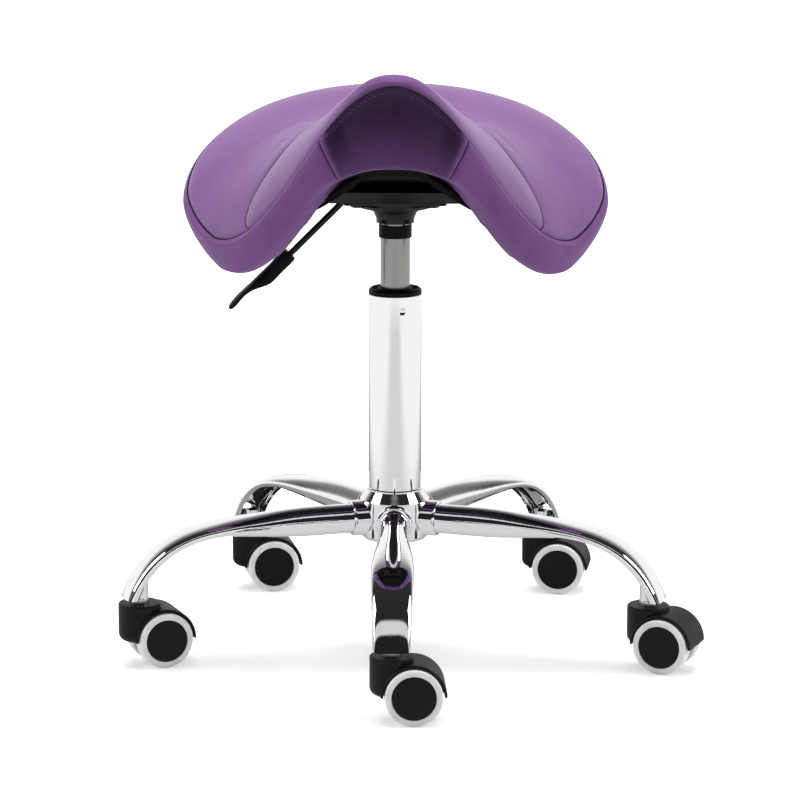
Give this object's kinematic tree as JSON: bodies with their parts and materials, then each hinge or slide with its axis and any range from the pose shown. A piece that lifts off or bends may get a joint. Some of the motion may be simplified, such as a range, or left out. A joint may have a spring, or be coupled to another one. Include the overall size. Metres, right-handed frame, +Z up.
{
  "type": "saddle stool",
  "caption": "Saddle stool with a purple padded saddle seat, gas lift with side lever, chromed five-star base and hooded twin-wheel casters.",
  "frame": {"origin": "on the floor, under the column's axis", "axes": "+Z up the column, -Y towards the pommel and one leg of the base, -X towards the lever"},
  "size_m": [0.548, 0.5082, 0.562],
  "materials": {
    "pu_leather": "satin",
    "black_moulding": "satin",
    "black_nylon": "satin",
    "black_steel": "satin",
    "zinc_steel": "satin",
    "satin_steel": "satin",
    "brass_bush": "satin",
    "black_rubber": "matte",
    "chrome_plate": "polished",
    "white_nylon": "matte",
    "grey_tread": "matte"
  },
  "bodies": {
    "base": {"base_hub": "chrome_plate", "outer_tube": "chrome_plate", "guide_bush": "white_nylon", "ring_cap": "black_moulding", "lower_race": "zinc_steel", "bearing_balls": "zinc_steel", "caster_stems": "zinc_steel", "grip_rings": "zinc_steel", "leg_front": "chrome_plate", "leg_right": "chrome_plate", "leg_back_right": "chrome_plate", "leg_back_left": "chrome_plate", "leg_left": "chrome_plate"},
    "spindle": {"piston_rod": "satin_steel", "piston": "brass_bush", "rubber_buffer": "black_rubber", "upper_race": "zinc_steel", "retaining_clip": "zinc_steel"},
    "seat": {"seat_cushion": "pu_leather", "seat_pan": "black_moulding", "mechanism_plate": "black_steel", "lift_socket": "black_steel", "plate_bolts": "black_steel", "lever_pivot_pin": "zinc_steel", "cylinder_shroud": "black_moulding", "pressure_cylinder": "satin_steel", "cylinder_gland": "black_moulding"},
    "lever": {"lever_rod": "black_steel", "lever_handle": "black_moulding"},
    "valve": {"valve_pin": "zinc_steel"},
    "caster_front": {"caster_housing_front": "black_nylon", "caster_axle_front": "zinc_steel"},
    "wheel_front_a": {"wheel_core_front_a": "black_nylon", "wheel_tyre_front_a": "grey_tread"},
    "wheel_front_b": {"wheel_core_front_b": "black_nylon", "wheel_tyre_front_b": "grey_tread"},
    "caster_right": {"caster_housing_right": "black_nylon", "caster_axle_right": "zinc_steel"},
    "wheel_right_a": {"wheel_core_right_a": "black_nylon", "wheel_tyre_right_a": "grey_tread"},
    "wheel_right_b": {"wheel_core_right_b": "black_nylon", "wheel_tyre_right_b": "grey_tread"},
    "caster_back_right": {"caster_housing_back_right": "black_nylon", "caster_axle_back_right": "zinc_steel"},
    "wheel_back_right_a": {"wheel_core_back_right_a": "black_nylon", "wheel_tyre_back_right_a": "grey_tread"},
    "wheel_back_right_b": {"wheel_core_back_right_b": "black_nylon", "wheel_tyre_back_right_b": "grey_tread"},
    "caster_back_left": {"caster_housing_back_left": "black_nylon", "caster_axle_back_left": "zinc_steel"},
    "wheel_back_left_a": {"wheel_core_back_left_a": "black_nylon", "wheel_tyre_back_left_a": "grey_tread"},
    "wheel_back_left_b": {"wheel_core_back_left_b": "black_nylon", "wheel_tyre_back_left_b": "grey_tread"},
    "caster_left": {"caster_housing_left": "black_nylon", "caster_axle_left": "zinc_steel"},
    "wheel_left_a": {"wheel_core_left_a": "black_nylon", "wheel_tyre_left_a": "grey_tread"},
    "wheel_left_b": {"wheel_core_left_b": "black_nylon", "wheel_tyre_left_b": "grey_tread"}
  },
  "joints": [
    {"name": "seat_swivel", "type": "hinge", "parent": "base", "child": "spindle", "pos_m": [0, 0, 0.3], "axis": [0, 0, 1], "continuous": true},
    {"name": "height_lift", "type": "slide", "parent": "spindle", "child": "seat", "axis": [0, 0, 1], "range_m": [-0.045, 0.095]},
    {"name": "lever_pull", "type": "hinge", "parent": "seat", "child": "lever", "pos_m": [-0.022, 0, 0.434], "axis": [0, 1, 0], "range_deg": [0, 6], "stiffness_Nm_per_rad": 3, "springref_deg": -5.73},
    {"name": "valve_press", "type": "slide", "parent": "seat", "child": "valve", "axis": [0, 0, -1], "range_m": [0, 0.0024]},
    {"name": "caster_swivel_front", "type": "hinge", "parent": "base", "child": "caster_front", "pos_m": [0, -0.25, 0.05], "axis": [0, 0, 1], "continuous": true},
    {"name": "wheel_spin_front_a", "type": "hinge", "parent": "caster_front", "child": "wheel_front_a", "pos_m": [0.01897, -0.24901, 0.026], "axis": [-0.0523, 0.9986, 0], "continuous": true},
    {"name": "wheel_spin_front_b", "type": "hinge", "parent": "caster_front", "child": "wheel_front_b", "pos_m": [0.01897, -0.24901, 0.026], "axis": [-0.0523, 0.9986, 0], "continuous": true},
    {"name": "caster_swivel_right", "type": "hinge", "parent": "base", "child": "caster_right", "pos_m": [0.23776, -0.07725, 0.05], "axis": [0, 0, 1], "continuous": true},
    {"name": "wheel_spin_right_a", "type": "hinge", "parent": "caster_right", "child": "wheel_right_a", "pos_m": [0.25525, -0.08468, 0.026], "axis": [0.3907, 0.9205, 0], "continuous": true},
    {"name": "wheel_spin_right_b", "type": "hinge", "parent": "caster_right", "child": "wheel_right_b", "pos_m": [0.25525, -0.08468, 0.026], "axis": [0.3907, 0.9205, 0], "continuous": true},
    {"name": "caster_swivel_back_right", "type": "hinge", "parent": "base", "child": "caster_back_right", "pos_m": [0.14695, 0.20225, 0.05], "axis": [0, 0, 1], "continuous": true},
    {"name": "wheel_spin_back_right_a", "type": "hinge", "parent": "caster_back_right", "child": "wheel_back_right_a", "pos_m": [0.16576, 0.19961, 0.026], "axis": [0.1392, 0.9903, 0], "continuous": true},
    {"name": "wheel_spin_back_right_b", "type": "hinge", "parent": "caster_back_right", "child": "wheel_back_right_b", "pos_m": [0.16576, 0.19961, 0.026], "axis": [0.1392, 0.9903, 0], "continuous": true},
    {"name": "caster_swivel_back_left", "type": "hinge", "parent": "base", "child": "caster_back_left", "pos_m": [-0.14695, 0.20225, 0.05], "axis": [0, 0, 1], "continuous": true},
    {"name": "wheel_spin_back_left_a", "type": "hinge", "parent": "caster_back_left", "child": "wheel_back_left_a", "pos_m": [-0.12836, 0.2062, 0.026], "axis": [-0.2079, 0.9781, 0], "continuous": true},
    {"name": "wheel_spin_back_left_b", "type": "hinge", "parent": "caster_back_left", "child": "wheel_back_left_b", "pos_m": [-0.12836, 0.2062, 0.026], "axis": [-0.2079, 0.9781, 0], "continuous": true},
    {"name": "caster_swivel_left", "type": "hinge", "parent": "base", "child": "caster_left", "pos_m": [-0.23776, -0.07725, 0.05], "axis": [0, 0, 1], "continuous": true},
    {"name": "wheel_spin_left_a", "type": "hinge", "parent": "caster_left", "child": "wheel_left_a", "pos_m": [-0.22027, -0.06983, 0.026], "axis": [-0.3907, 0.9205, 0], "continuous": true},
    {"name": "wheel_spin_left_b", "type": "hinge", "parent": "caster_left", "child": "wheel_left_b", "pos_m": [-0.22027, -0.06983, 0.026], "axis": [-0.3907, 0.9205, 0], "continuous": true}
  ],
  "couplings": [
    {"joint": "valve_press", "follows": "lever_pull", "m_per_rad": 0.022}
  ]
}
